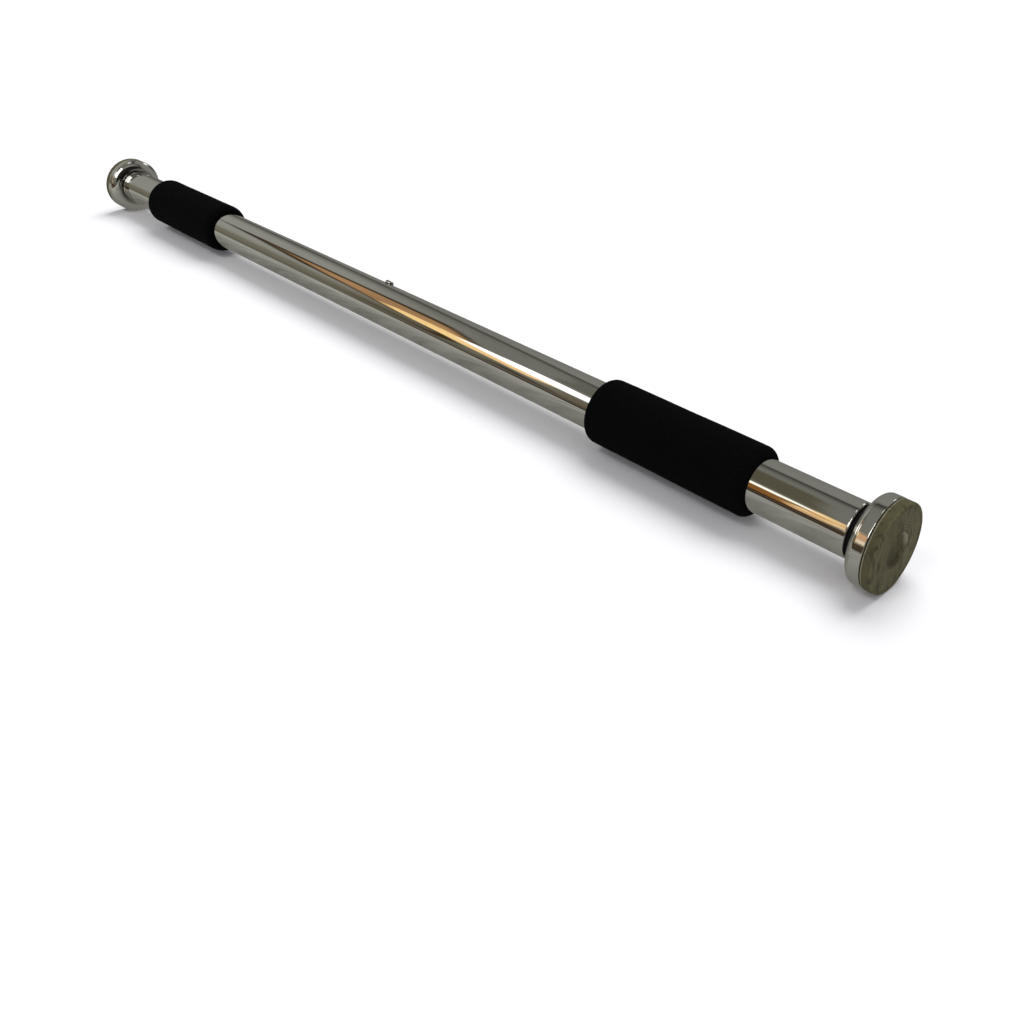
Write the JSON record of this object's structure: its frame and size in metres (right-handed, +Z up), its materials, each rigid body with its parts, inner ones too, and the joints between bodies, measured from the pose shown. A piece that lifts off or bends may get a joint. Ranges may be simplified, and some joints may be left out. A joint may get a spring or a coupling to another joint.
{
  "type": "pull up bar",
  "caption": "Telescopic doorway pull-up bar: a chromed tube with foam grips that screws two padded end cups outwards against a door frame when it is turned.",
  "frame": {"origin": "middle of the bar on its own axis, which is the centre of the bounding box with both stems screwed right in", "axes": "+X along the bar towards the right-hand end, +Z up, +Y away from the viewer; the middle screw leans from +Z towards +Y"},
  "size_m": [0.762, 0.046, 0.046],
  "materials": {
    "chrome": "polished chrome plate over steel tube and pressed steel",
    "zinc": "zinc-plated fasteners and washers",
    "steel": "plain turned and rolled steel, lightly greased",
    "foam": "matte black closed-cell foam",
    "nylon": "black moulded nylon",
    "rubber": "matte olive-brown moulded rubber"
  },
  "bodies": {
    "bar_tube": {"outer_tube": "chrome", "centre_block": "nylon", "centre_screw": "zinc", "spindle_left": "steel", "spindle_pin_left": "steel", "stop_washer_left": "zinc", "stop_screw_left": "zinc", "foam_grip_left": "foam", "spindle_right": "steel", "spindle_pin_right": "steel", "stop_washer_right": "zinc", "stop_screw_right": "zinc", "foam_grip_right": "foam"},
    "left_bush": {"guide_bush_left": "nylon"},
    "left_stem": {"stem_tube_left": "chrome", "spindle_nut_left": "steel", "nut_rivet_left_front": "steel", "nut_rivet_left_rear": "steel", "guide_ring_left": "nylon", "stop_collar_left": "chrome", "end_plug_left": "steel", "end_cup_left": "chrome", "backing_plate_left": "zinc", "bolt_washer_left": "zinc", "cup_bolt_left": "zinc", "end_pad_left": "rubber"},
    "right_bush": {"guide_bush_right": "nylon"},
    "right_stem": {"stem_tube_right": "chrome", "spindle_nut_right": "steel", "nut_rivet_right_front": "steel", "nut_rivet_right_rear": "steel", "guide_ring_right": "nylon", "stop_collar_right": "chrome", "end_plug_right": "steel", "end_cup_right": "chrome", "backing_plate_right": "zinc", "bolt_washer_right": "zinc", "cup_bolt_right": "zinc", "end_pad_right": "rubber"}
  },
  "joints": [
    {"name": "left_turn", "type": "hinge", "parent": "bar_tube", "child": "left_bush", "pos_m": [-0.362, 0, 0], "axis": [1, 0, 0], "range_deg": [0, 5760]},
    {"name": "left_slide", "type": "slide", "parent": "left_bush", "child": "left_stem", "axis": [-1, 0, 0], "range_m": [0, 0.0641]},
    {"name": "right_turn", "type": "hinge", "parent": "bar_tube", "child": "right_bush", "pos_m": [0.362, 0, 0], "axis": [1, 0, 0], "range_deg": [0, 5760]},
    {"name": "right_slide", "type": "slide", "parent": "right_bush", "child": "right_stem", "axis": [1, 0, 0], "range_m": [0, 0.0641]}
  ],
  "couplings": [
    {"joint": "left_slide", "follows": "left_turn", "m_per_rad": 0.00063662},
    {"joint": "right_slide", "follows": "right_turn", "m_per_rad": 0.00063662}
  ]
}
